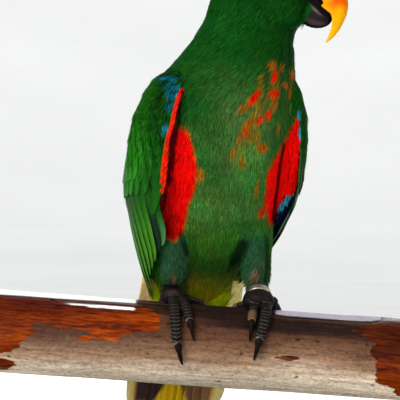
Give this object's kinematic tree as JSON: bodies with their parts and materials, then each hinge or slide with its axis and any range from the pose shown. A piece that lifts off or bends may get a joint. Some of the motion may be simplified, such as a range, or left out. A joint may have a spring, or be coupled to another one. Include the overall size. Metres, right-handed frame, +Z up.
{
  "type": "male eclectus parrot, still life-size model on a perch",
  "caption": "Still, life-size model of a green male eclectus parrot that grips a cut length of round wooden rail, held over a flat base by short rods.",
  "frame": {"origin": "middle of the underside of the flat stand base, on the floor", "axes": "+Z up; +X toward the viewer's right, along the rail; the bird faces -Y, turned 22 degrees toward +X, and its head looks along +X"},
  "size_m": [0.309, 0.18, 0.3878],
  "materials": {
    "plumage": "dense short contour feathers, green with a soft sheen and red side and breast marks",
    "wing_feathers": "smooth overlapping wing feathers, green with blue and red at the front edge",
    "tail_feathers": "smooth long tail feathers, green above and dark below with yellow edges",
    "bill_orange": "smooth horn, orange-red grading to yellow at the tip",
    "bill_black": "smooth dark horn",
    "eye": "wet, glossy, with a round dark pupil in an orange iris",
    "foot_skin": "dark grey scaly skin",
    "claw_horn": "smooth black horn",
    "ring_metal": "plain, dull and a little worn",
    "rail_wood": "weathered grey-brown wood with worn red-brown varnish",
    "stand_paint": "fine-grained board under dark satin paint",
    "rod_metal": "brushed round rod"
  },
  "bodies": {
    "root": {"bill_lower": "bill_black", "bill_upper": "bill_orange", "claw_left_1": "claw_horn", "claw_left_2": "claw_horn", "claw_left_3": "claw_horn", "claw_left_4": "claw_horn", "claw_right_1": "claw_horn", "claw_right_2": "claw_horn", "claw_right_3": "claw_horn", "claw_right_4": "claw_horn", "eye_left": "eye", "eye_right": "eye", "head": "plumage", "leg_ring": "ring_metal", "neck": "plumage", "perch": "rail_wood", "stand_base": "stand_paint", "stand_rod_left": "rod_metal", "stand_rod_right": "rod_metal", "tail": "tail_feathers", "tarsus_left": "foot_skin", "tarsus_right": "foot_skin", "thigh_left": "plumage", "thigh_right": "plumage", "toe_left_1": "foot_skin", "toe_left_2": "foot_skin", "toe_left_3": "foot_skin", "toe_left_4": "foot_skin", "toe_right_1": "foot_skin", "toe_right_2": "foot_skin", "toe_right_3": "foot_skin", "toe_right_4": "foot_skin", "trunk": "plumage", "wing_left": "wing_feathers", "wing_right": "wing_feathers"}
  },
  "joints": []
}
